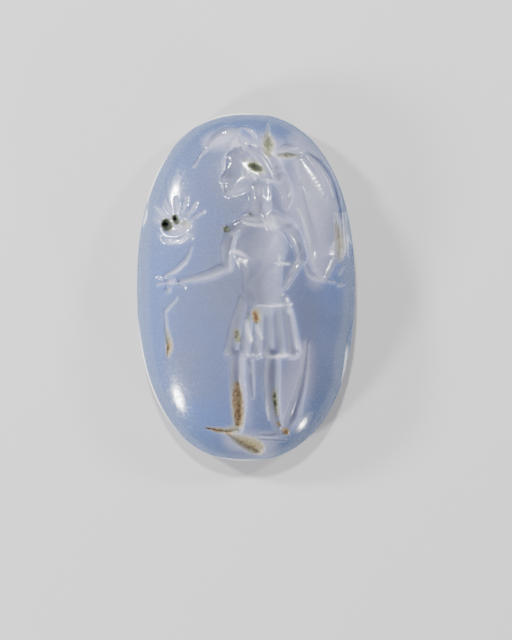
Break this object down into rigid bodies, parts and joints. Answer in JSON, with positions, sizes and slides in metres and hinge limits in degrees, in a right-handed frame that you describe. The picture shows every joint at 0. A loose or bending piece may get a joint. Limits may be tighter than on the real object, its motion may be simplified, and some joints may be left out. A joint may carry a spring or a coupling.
{
  "type": "engraved gem",
  "caption": "Long oval domed ringstone of translucent pale blue chalcedony, flat-backed, with a standing winged figure holding a flower cut into the dome.",
  "frame": {"origin": "middle of the flat back", "axes": "+Z from the back through the engraved dome, +Y along the stone towards the figure's head, +X across it"},
  "size_m": [0.0188, 0.03, 0.006],
  "materials": {
    "stone": "polished translucent pale blue chalcedony, lightly worn, with brown and green dirt in the deep cuts"
  },
  "bodies": {
    "root": {"engraved_gem": "stone"}
  },
  "joints": []
}
